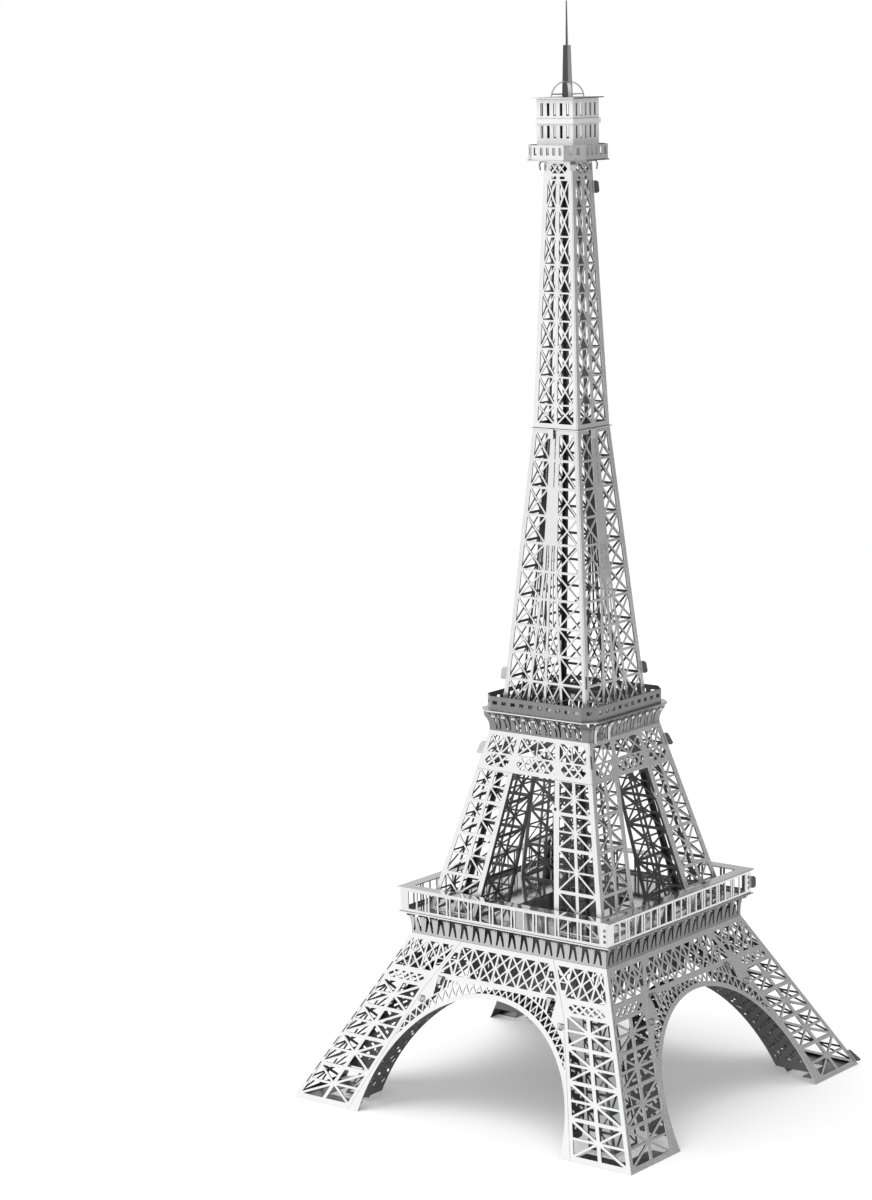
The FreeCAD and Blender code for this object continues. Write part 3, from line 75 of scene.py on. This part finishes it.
# ---------------------------------------------------------------- node helpers
class Nodes:
    """A small wrapper that adds nodes to a tree and joins them."""

    def __init__(self, tree):
        self.tree = tree
        tree.nodes.clear()

    def add(self, kind, inputs=None, **settings):
        node = self.tree.nodes.new(kind)
        for name, value in settings.items():
            setattr(node, name, value)
        for name, value in (inputs or {}).items():
            self.feed(node.inputs[name], value)
        return node

    def feed(self, socket, value):
        if isinstance(value, bpy.types.NodeSocket):
            self.tree.links.new(value, socket)
        else:
            socket.default_value = value

    def math(self, operation, first, second=0.0, clamp=False):
        node = self.add("ShaderNodeMath", operation=operation, use_clamp=clamp)
        self.feed(node.inputs[0], first)
        self.feed(node.inputs[1], second)
        return node.outputs[0]

    def dot(self, vector, direction):
        node = self.add("ShaderNodeVectorMath", operation="DOT_PRODUCT")
        self.feed(node.inputs[0], vector)
        self.feed(node.inputs[1], direction)
        return node.outputs["Value"]

    def ramp(self, value, low, high, start=0.0, end=1.0, smooth=True):
        node = self.add(
            "ShaderNodeMapRange",
            {"Value": value, "From Min": low, "From Max": high, "To Min": start, "To Max": end},
            interpolation_type="SMOOTHSTEP" if smooth else "LINEAR",
        )
        return node.outputs["Result"]

    def blend(self, factor, first, second):
        node = self.add("ShaderNodeMix", data_type="FLOAT")
        self.feed(node.inputs[0], factor)
        self.feed(node.inputs[2], first)
        self.feed(node.inputs[3], second)
        return node.outputs[0]

    def tint(self, factor, first, second):
        node = self.add("ShaderNodeMix", data_type="RGBA")
        self.feed(node.inputs[0], factor)
        self.feed(node.inputs[6], first)
        self.feed(node.inputs[7], second)
        return node.outputs[2]

    def noise(self, vector, scale, detail=3.0, roughness=0.55):
        node = self.add(
            "ShaderNodeTexNoise",
            {"Vector": vector, "Scale": scale, "Detail": detail, "Roughness": roughness},
        )
        return node.outputs["Fac"]

    def stretched(self, vector, scale):
        node = self.add("ShaderNodeMapping", {"Vector": vector, "Scale": scale})
        return node.outputs["Vector"]


def new_material(name):
    """An empty node material and the helper that fills it."""
    material = bpy.data.materials.new(name)
    material.use_nodes = True
    return material, Nodes(material.node_tree)


def grey(level):
    """An opaque grey."""
    return (level, level, level, 1.0)


# ---------------------------------------------------------------- steel
# A surface counts as facing a direction between these two dot products.
FACE_LOW = 0.3
FACE_HIGH = 0.5
# The mottled part of the grain's noise, from its darkest to its brightest.
TONE_LOW = 0.3
TONE_HIGH = 0.7
BRUSH_STRETCH = (9000.0, 9000.0, 260.0)
SMUDGE_SCALE = 160.0
EDGE_ROUNDING = 0.00012
RELIEF_DEPTH = 0.00002
RELIEF_STRENGTH = 0.12
BACK_ROUGHER = 0.18
FRONT = (0.0, -1.0, 0.0)
LEFT = (-1.0, 0.0, 0.0)


def outward_share(n, position, normal, inner_set):
    """How squarely a point of a wall faces away from the tower's axis, from -1 to 1."""
    across = n.add("ShaderNodeSeparateXYZ", {"Vector": position})
    facing = n.add("ShaderNodeSeparateXYZ", {"Vector": normal})
    x_size = n.math("ABSOLUTE", across.outputs["X"])
    y_size = n.math("ABSOLUTE", across.outputs["Y"])
    side_sheet = n.math("GREATER_THAN", x_size, y_size)
    if inner_set:
        side_sheet = n.math("SUBTRACT", 1.0, side_sheet)
    x_out = n.math("MULTIPLY", facing.outputs["X"], n.math("SIGN", across.outputs["X"]))
    y_out = n.math("MULTIPLY", facing.outputs["Y"], n.math("SIGN", across.outputs["Y"]))
    return n.blend(side_sheet, y_out, x_out)


def upward_share(n, normal):
    """How squarely a point of a level plate faces up."""
    return n.add("ShaderNodeSeparateXYZ", {"Vector": normal}).outputs["Z"]


def toward(n, normal, direction, low, high):
    """One where a surface faces the direction, zero where it faces away."""
    return n.ramp(n.dot(normal, direction), low, high)


def brushed_grain(n, position):
    """Fine upright brushing under soft cloudy smudges."""
    brushed = n.noise(n.stretched(position, BRUSH_STRETCH), 1.0, 4.0)
    cloudy = n.noise(position, SMUDGE_SCALE, 3.0)
    tone = n.math("ADD", n.math("MULTIPLY", brushed, 0.5), n.math("MULTIPLY", cloudy, 0.5))
    return brushed, tone


def mottled(n, tone, low, high):
    """A value that wanders from low to high with the grain."""
    return n.ramp(tone, TONE_LOW, TONE_HIGH, low, high)


def mottled_grey(n, tone, low, high):
    """A grey that wanders from low to high with the grain."""
    return n.tint(n.ramp(tone, TONE_LOW, TONE_HIGH), grey(low), grey(high))


def finish_steel(n, colour, rough, brushed, metallic=1.0):
    """The metal shader with the brushing as fine relief."""
    rounded = n.add("ShaderNodeBevel", {"Radius": EDGE_ROUNDING})
    rounded.samples = 4
    bump = n.add(
        "ShaderNodeBump",
        {
            "Height": brushed,
            "Strength": RELIEF_STRENGTH,
            "Distance": RELIEF_DEPTH,
            "Normal": rounded.outputs["Normal"],
        },
    )
    shader = n.add(
        "ShaderNodeBsdfPrincipled",
        {
            "Base Color": colour,
            "Metallic": metallic,
            "Roughness": rough,
            "Normal": bump.outputs["Normal"],
        },
    )
    n.add("ShaderNodeOutputMaterial", {"Surface": shader.outputs["BSDF"]})


def steel(name, bright, back_shade, edge, roughness, kind="wall", metallic=1.0):
    """Satin sheet steel: polished on its show face, plain on its back with painted shade there,
    and painted shade along its edges, with a painted highlight on edges that face the front.
    """
    material, n = new_material(name)
    place = n.add("ShaderNodeNewGeometry")
    position = place.outputs["Position"]
    normal = place.outputs["True Normal"]
    if kind == "plate":
        share = upward_share(n, normal)
    else:
        share = outward_share(n, position, normal, kind == "inner")
    show_face = n.ramp(share, FACE_LOW, FACE_HIGH)
    flat_face = n.ramp(n.math("ABSOLUTE", share), FACE_LOW, FACE_HIGH)
    brushed, tone = brushed_grain(n, position)
    show_colour = mottled_grey(n, tone, bright - 0.05, bright)
    # Painted shade: the back of the sheet is painted dark.
    sheet_colour = n.tint(show_face, grey(back_shade), show_colour)
    # Painted shade along the edges, with a painted highlight on the edges that face the front.
    front_edge_highlight = toward(n, normal, FRONT, 0.5, 0.8)
    edge_shade_and_highlight = n.tint(front_edge_highlight, grey(edge), grey(bright))
    colour = n.tint(flat_face, edge_shade_and_highlight, sheet_colour)
    show_rough = mottled(n, tone, roughness - 0.05, roughness + 0.06)
    rough = n.blend(show_face, roughness + BACK_ROUGHER, show_rough)
    finish_steel(n, colour, rough, brushed, metallic)
    return material


def mast_steel(name, seam_shade_level, bright, roughness):
    """Steel of the folded mast: the side with the seam faces the front and carries painted shade;
    the others are bright.
    """
    material, n = new_material(name)
    place = n.add("ShaderNodeNewGeometry")
    # Painted shade on the front-facing side, where the seam is.
    seam_shade = toward(n, place.outputs["True Normal"], FRONT, 0.8, 0.95)
    brushed, tone = brushed_grain(n, place.outputs["Position"])
    shine = mottled_grey(n, tone, bright - 0.06, bright)
    colour = n.tint(seam_shade, shine, grey(seam_shade_level))
    finish_steel(n, colour, mottled(n, tone, roughness, roughness + 0.1), brushed)
    return material


def plain_steel(name, level, roughness, lit_left_level=None):
    """Steel of one tone for small bent tabs, with another tone on the left half if wanted, as
    painted light there.
    """
    material, n = new_material(name)
    position = n.add("ShaderNodeNewGeometry").outputs["Position"]
    brushed, tone = brushed_grain(n, position)
    colour = mottled_grey(n, tone, level * 0.85, level)
    if lit_left_level is not None:
        # Painted light: tabs on the left half of the tower get the other tone.
        lit_left = n.ramp(n.dot(position, LEFT), 0.0, 0.001)
        colour = n.tint(lit_left, colour, grey(lit_left_level))
    finish_steel(n, colour, mottled(n, tone, roughness, roughness + 0.1), brushed)
    return material


def paint(node, material):
    """Gives a CAD node its steel, with the painted light and shade that material carries, without
    touching its mesh.
    """
    node.data.materials.clear()
    node.data.materials.append(material)


OUTER = steel("steel_polished", 0.90, 0.20, 0.07, 0.28)
# Painted light: the lower leg shells and arch panels are a lighter copy of the polished steel.
LOWER_PAINTED_LIGHT = steel("steel_lower_painted_light", 0.95, 0.18, 0.07, 0.26)
# Painted shade: the third stage is a darker copy of the polished steel.
TALL_PAINTED_SHADE = steel("steel_tall", 0.84, 0.10, 0.07, 0.28)
# Painted shade: the inner faces of the upper legs are painted dark.
INNER_PAINTED_SHADE = steel("steel_inner_painted_shade", 0.19, 0.14, 0.30, 0.36, "inner")
# Painted shade: the inner girder is painted dark.
HIDDEN_PAINTED_SHADE = steel("steel_hidden_painted_shade", 0.16, 0.12, 0.08, 0.36)
# Painted shade: the arch soffits are painted dark.
SOFFIT_PAINTED_SHADE = steel("steel_soffit_painted_shade", 0.22, 0.20, 0.16, 0.40)
FLOORS = steel("steel_floor", 0.92, 0.20, 0.30, 0.07, "plate")
# Painted shade: the foot plates and the first ceiling are a darker copy of the steel.
PLATES_PAINTED_SHADE = steel("steel_plate_painted_shade", 0.36, 0.22, 0.24, 0.30, "plate")
SHADE = steel("steel_shade", 0.31, 0.16, 0.08, 0.30)
# Painted shade: the front cove is a darker copy of the polished steel.
COVE_PAINTED_SHADE = steel("steel_cove", 0.62, 0.20, 0.10, 0.30)
# Painted shade: the other coves are darker still.
COVE_SIDE_PAINTED_SHADE = steel("steel_cove_side_painted_shade", 0.26, 0.14, 0.08, 0.30)
CABIN = steel("steel_cabin", 1.0, 0.10, 0.10, 0.45, "wall", 0.10)
MAST = mast_steel("steel_mast_seam_shade", 0.09, 0.80, 0.25)
# Painted shade: the lattice inside the lower legs is painted dark.
CORE_PAINTED_SHADE = steel("steel_core_painted_shade", 0.22, 0.12, 0.28, 0.36)
TABS = plain_steel("steel_tabs", 0.80, 0.24)
# Painted shade: the thin edges and ends of the bent tabs are painted dark.
TAB_EDGES_PAINTED_SHADE = plain_steel("steel_tab_edges_painted_shade", 0.08, 0.40)
# The twisted tabs carry painted shade, with painted light on the left half of the tower.
TWISTED_LIGHT_AND_SHADE = plain_steel("steel_twisted_light_and_shade", 0.14, 0.40, 0.85)

# The first entry that a node's name starts with gives its steel, with the painted light and shade
# that material carries.
FINISHES_WITH_PAINTED_LIGHT_AND_SHADE = (
    ("upper_leg_inner", INNER_PAINTED_SHADE),
    ("arch_soffit", SOFFIT_PAINTED_SHADE),
    ("inner_girder", HIDDEN_PAINTED_SHADE),
    ("first_deck", FLOORS),
    ("second_deck", FLOORS),
    ("top_deck", FLOORS),
    ("gallery_roof", FLOORS),
    ("cabin_roof", FLOORS),
    ("foot_plate", PLATES_PAINTED_SHADE),
    ("first_ceiling", PLATES_PAINTED_SHADE),
    ("cornice", SHADE),
    ("second_rail", SHADE),
    ("leg_shell", LOWER_PAINTED_LIGHT),
    ("arch_panel", LOWER_PAINTED_LIGHT),
    ("third_side", TALL_PAINTED_SHADE),
    ("first_cove_front", COVE_PAINTED_SHADE),
    ("first_cove", COVE_SIDE_PAINTED_SHADE),
    ("cabin", CABIN),
    ("mast", MAST),
    ("twist_tabs", TWISTED_LIGHT_AND_SHADE),
)

for name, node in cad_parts.items():
    fitting = [finish_light_and_shade for start, finish_light_and_shade in FINISHES_WITH_PAINTED_LIGHT_AND_SHADE if name.startswith(start)]
    paint(node, (fitting + [OUTER])[0])


# ---------------------------------------------------------------- detail pieces
MM = 0.001


def add_piece(name, mesh, materials):
    """Turns a bmesh into a detail piece that stays with the tower."""
    data = bpy.data.meshes.new(name)
    mesh.to_mesh(data)
    mesh.free()
    for material in materials:
        data.materials.append(material)
    piece = bpy.data.objects.new(name, data)
    bpy.context.scene.collection.objects.link(piece)
    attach(piece, "root")


# ---------------------------------------------------------------- inner lattice of the legs
# Lengths and levels of the detail pieces are in mm, as in the CAD model.
LEG_CORNER_HALF = 54.30
LEG_CORNER_LEAN = 0.528
LEG_INNER_HALF = 35.90
LEG_INNER_LEAN = 0.427
CORE_FOOT = 0.8
CORE_TOP = 30.8
CORE_DEPTHS = (10.4, 8.0)


def cut_level(mesh, level, keep_above):
    """Cuts a mesh at a level, in mm, and keeps the part above or below it."""
    bmesh.ops.bisect_plane(
        mesh,
        geom=mesh.verts[:] + mesh.edges[:] + mesh.faces[:],
        plane_co=(0.0, 0.0, level * MM),
        plane_no=(0.0, 0.0, 1.0),
        clear_inner=keep_above,
        clear_outer=not keep_above,
    )


def leg_core(shell):
    """The lattice inside a leg: its shell drawn in towards the leg's inner corner."""
    mesh = bmesh.new()
    mesh.from_mesh(shell.data)
    bmesh.ops.transform(mesh, matrix=shell.matrix_world, verts=mesh.verts)
    cut_level(mesh, CORE_FOOT, True)
    cut_level(mesh, CORE_TOP, False)
    for vertex in mesh.verts:
        level = vertex.co.z / MM
        corner = LEG_CORNER_HALF - LEG_CORNER_LEAN * level
        inner = LEG_INNER_HALF - LEG_INNER_LEAN * level
        for axis, depth in enumerate(CORE_DEPTHS):
            share = (abs(vertex.co[axis]) / MM - inner) / (corner - inner)
            reach = inner + share * (corner - depth - inner)
            vertex.co[axis] = math.copysign(reach * MM, vertex.co[axis])
    add_piece(shell.name.replace("leg_shell", "leg_core"), mesh, [CORE_PAINTED_SHADE])


for name, node in sorted(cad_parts.items()):
    if name.startswith("leg_shell"):
        leg_core(node)


# ---------------------------------------------------------------- bent tabs
TAB_THICKNESS = 0.26


class Face:
    """One side of the tower as a leaning plane that bent tabs stand on; lengths are in mm."""

    def __init__(self, quarter, half, lean, level, turn=0.0):
        angle = math.radians(90.0 * quarter + turn)
        self.spin = Matrix.Rotation(angle, 4, "Z")
        self.half = half
        self.level = level
        length = math.hypot(1.0, lean)
        self.lean = lean
        self.up = Vector((0.0, lean, 1.0)) / length
        self.out = Vector((0.0, -1.0, lean)) / length

    def point(self, u, z, out, up):
        """A place out from and up along the plane, counted from its point at u and z."""
        base = Vector((u, -(self.half - self.lean * (z - self.level)), z))
        return self.spin @ ((base + self.out * out + self.up * up) * MM)


def bent_strip(mesh, face, u, z, path, widths):
    """A strip of sheet that follows a path out from a face, with a width for each point."""
    sides = []
    for index, (out, up) in enumerate(path):
        before = Vector(path[max(index - 1, 0)])
        after = Vector(path[min(index + 1, len(path) - 1)])
        along = (after - before).normalized()
        across = Vector((-along.y, along.x)) * 0.5 * TAB_THICKNESS
        half = 0.5 * widths[min(index, len(widths) - 1)]
        ring = []
        for shift, sign in ((-half, -1), (half, -1), (half, 1), (-half, 1)):
            place = face.point(u + shift, z, out + sign * across.x, up + sign * across.y)
            ring.append(mesh.verts.new(place))
        sides.append(ring)
    for low, high in zip(sides, sides[1:]):
        for index in range(4):
            following = (index + 1) % 4
            quad = mesh.faces.new((low[index], low[following], high[following], high[index]))
            # Even sides are the tab's faces; odd sides and the end caps get the painted shade of
            # the edges.
            quad.material_index = index % 2
    for ring, order in ((sides[0], -1), (sides[-1], 1)):
        cap = mesh.faces.new(ring[::order])
        cap.material_index = 1


def tab_piece(name, strips):
    """One detail piece made of bent strips that stays with the tower."""
    mesh = bmesh.new()
    for strip in strips:
        bent_strip(mesh, *strip)
    bmesh.ops.recalc_face_normals(mesh, faces=mesh.faces)
    add_piece(name, mesh, [TABS, TAB_EDGES_PAINTED_SHADE])


# Each path is a list of (out, up) steps in mm from where the tab leaves its sheet.
HOOK_PATH = [(0.02, 0.0), (0.42, 0.02), (0.60, -0.22), (0.62, -1.1), (0.40, -2.1)]
CURL_PATH = [(0.02, 1.0), (0.40, 1.08), (0.78, 0.78), (0.88, 0.25), (0.70, -0.30), (0.30, -0.50)]
BRACKET_PATH = [(0.02, -0.9), (0.30, -0.45), (0.70, -0.15), (1.15, -0.30)]
CORNICE_PATH = [(0.02, -1.2), (0.22, -0.60), (0.50, -0.20), (0.80, -0.35)]
FLARE_PATH = [(0.20, -5.2), (0.22, -3.2), (0.45, -1.7), (1.25, -0.55), (1.75, -0.15)]
BRACE_PATH = [(-0.70, -0.10), (0.20, -0.15), (0.55, -0.80), (0.35, -2.30)]
HOOK_WIDTHS = [1.8, 1.8, 1.6, 1.0, 0.9]
CURL_WIDTHS = [1.1, 1.1, 1.0, 0.9, 0.8, 0.7]
BRACKET_WIDTHS = [1.9, 1.6, 1.3]
CORNICE_WIDTHS = [1.3, 1.2, 1.1]
FLARE_WIDTHS = [1.0, 1.0, 1.3, 3.0, 3.2]
BRACE_WIDTHS = [1.4]
HOOK_LEVEL = 34.5
HOOK_PLACES = (-17.9, 17.3)
CURL_LEVEL = 28.4
CURL_PLACES = (-22.4, 22.4)
COVE_HALF = 32.05
COVE_LEVEL = 48.9
BRACKETS = 17
BRACKET_PITCH = 3.87
CORNICE_HALF = 18.40
CORNICE_LEVEL = 102.4
CORNICE_TABS = 9
CORNICE_PITCH = 3.22
FLARE_HALF = 17.15
FLARE_PLACES = (-15.4, -9.3)
TOP_CORNER = 6.95
TOP_LEVEL = 245.0
EIGHTH_TURN = 45.0
SIDES = ("front", "right", "back", "left")
RIGHT = SIDES.index("right")


def row_places(count, pitch):
    """Places of a row of tabs, evenly spaced about the middle of a side."""
    return [(index - count // 2) * pitch for index in range(count)]


for quarter, side in enumerate(SIDES):
    lower = Face(quarter, LEG_CORNER_HALF, LEG_CORNER_LEAN, 0.0)
    hooks = [(lower, u, HOOK_LEVEL, HOOK_PATH, HOOK_WIDTHS) for u in HOOK_PLACES]
    curls = [(lower, u, CURL_LEVEL, CURL_PATH, CURL_WIDTHS) for u in CURL_PLACES]
    tab_piece("arch_hooks_" + side, hooks + curls)
    cove = Face(quarter, COVE_HALF, 0.0, COVE_LEVEL)
    brackets = [
        (cove, u, COVE_LEVEL, BRACKET_PATH, BRACKET_WIDTHS)
        for u in row_places(BRACKETS, BRACKET_PITCH)
    ]
    tab_piece("bracket_curls_" + side, brackets)
    cornice = Face(quarter, CORNICE_HALF, 0.0, CORNICE_LEVEL)
    curled = [
        (cornice, u, CORNICE_LEVEL, CORNICE_PATH, CORNICE_WIDTHS)
        for u in row_places(CORNICE_TABS, CORNICE_PITCH)
    ]
    tab_piece("cornice_curls_" + side, curled)

flares = Face(RIGHT, FLARE_HALF, 0.0, CORNICE_LEVEL)
flared = [(flares, u, CORNICE_LEVEL, FLARE_PATH, FLARE_WIDTHS) for u in FLARE_PLACES]
tab_piece("flared_tabs", flared)

corners = [Face(quarter, TOP_CORNER, 0.0, TOP_LEVEL, EIGHTH_TURN) for quarter in range(4)]
braces = [(corner, 0.0, TOP_LEVEL, BRACE_PATH, BRACE_WIDTHS) for corner in corners]
tab_piece("top_braces", braces)


# ---------------------------------------------------------------- floor
def studio_level(n, direction):
    """The studio's brightness in a direction, from the bright side round to the dim one."""
    facing = n.dot(direction, tuple(BRIGHT_SIDE))
    return n.ramp(facing, DIM_END, BRIGHT_END, DIM_LEVEL, BRIGHT_LEVEL)


def floor_material():
    """Pale matt floor, lifted a little for the camera so its shadow stays light."""
    material, n = new_material("studio_floor")
    path = n.add("ShaderNodeLightPath")
    place = n.add("ShaderNodeNewGeometry").outputs["Position"]
    grain = n.ramp(n.noise(place, FLOOR_GRAIN_SCALE), 0.2, 0.8, 0.995, 1.0)
    colour = n.add("ShaderNodeCombineColor", {"Red": grain, "Green": grain, "Blue": grain})
    matt = n.add("ShaderNodeBsdfDiffuse", {"Color": FLOOR_COLOUR})
    lift = n.add("ShaderNodeEmission", {"Color": colour.outputs[0], "Strength": LIFT})
    both = n.add("ShaderNodeAddShader")
    n.feed(both.inputs[0], matt.outputs[0])
    n.feed(both.inputs[1], lift.outputs[0])
    choose = n.add("ShaderNodeMixShader")
    n.feed(choose.inputs[0], path.outputs["Is Camera Ray"])
    n.feed(choose.inputs[1], matt.outputs[0])
    n.feed(choose.inputs[2], both.outputs[0])
    n.add("ShaderNodeOutputMaterial", {"Surface": choose.outputs[0]})
    return material


def make_floor():
    """A plain round floor that the tower stands on."""
    level = CAD_BOX[0].z - FLOOR_DROP
    mesh = bpy.data.meshes.new("studio_floor")
    angles = [2 * math.pi * index / FLOOR_SIDES for index in range(FLOOR_SIDES)]
    ring = [(FLOOR_RADIUS * math.cos(a), FLOOR_RADIUS * math.sin(a), level) for a in angles]
    mesh.from_pydata(ring, [], [list(range(FLOOR_SIDES))])
    mesh.materials.append(floor_material())
    floor = bpy.data.objects.new("studio_floor", mesh)
    bpy.context.scene.collection.objects.link(floor)


# ---------------------------------------------------------------- world
def make_world():
    """The studio seen by the steel, and plain white for the camera."""
    world = bpy.data.worlds.new("studio")
    world.use_nodes = True
    n = Nodes(world.node_tree)
    direction = n.add("ShaderNodeTexCoord").outputs["Generated"]
    level = studio_level(n, direction)
    path = n.add("ShaderNodeLightPath")
    strength = n.blend(path.outputs["Is Camera Ray"], level, 1.0)
    back = n.add("ShaderNodeBackground", {"Color": (1.0, 1.0, 1.0, 1.0), "Strength": strength})
    n.add("ShaderNodeOutputWorld", {"Surface": back.outputs[0]})
    bpy.context.scene.world = world


def softbox(name, place, size, power):
    """A large square lamp that faces the middle of the tower."""
    lamp = bpy.data.lights.new(name, "AREA")
    lamp.shape = "SQUARE"
    lamp.size = size
    lamp.energy = power
    thing = bpy.data.objects.new(name, lamp)
    bpy.context.scene.collection.objects.link(thing)
    thing.location = place
    middle = (CAD_BOX[0] + CAD_BOX[1]) / 2
    thing.rotation_mode = "QUATERNION"
    thing.rotation_quaternion = (middle - Vector(place)).to_track_quat("-Z", "Y")
    thing.visible_camera = False
    thing.visible_glossy = False


# ---------------------------------------------------------------- camera
def make_camera():
    """The camera at the place, aim, roll and lens given above."""
    azimuth, elevation, roll = (
        math.radians(a) for a in (CAMERA_AZIMUTH, CAMERA_ELEVATION, CAMERA_ROLL)
    )
    back = Vector(
        (
            math.sin(azimuth) * math.cos(elevation),
            -math.cos(azimuth) * math.cos(elevation),
            math.sin(elevation),
        )
    )
    right = (-back).cross(Vector((0.0, 0.0, 1.0))).normalized()
    up = right.cross(-back)
    c, s = math.cos(roll), math.sin(roll)
    rows = (right * c - up * s, right * s + up * c, back)
    turn = Matrix(rows).transposed()
    data = bpy.data.cameras.new("camera")
    data.lens = LENS_MM
    data.sensor_width = SENSOR_MM
    data.sensor_fit = "AUTO"
    data.clip_start = 0.01
    data.clip_end = 100.0
    camera = bpy.data.objects.new("camera", data)
    camera.matrix_world = Matrix.Translation(CAMERA_PLACE) @ turn.to_4x4()
    bpy.context.scene.collection.objects.link(camera)
    bpy.context.scene.camera = camera


make_floor()
make_world()
softbox("overhead", LAMP_PLACE, LAMP_SIZE, LAMP_POWER)
make_camera()
bpy.context.scene.view_settings.view_transform = "Standard"
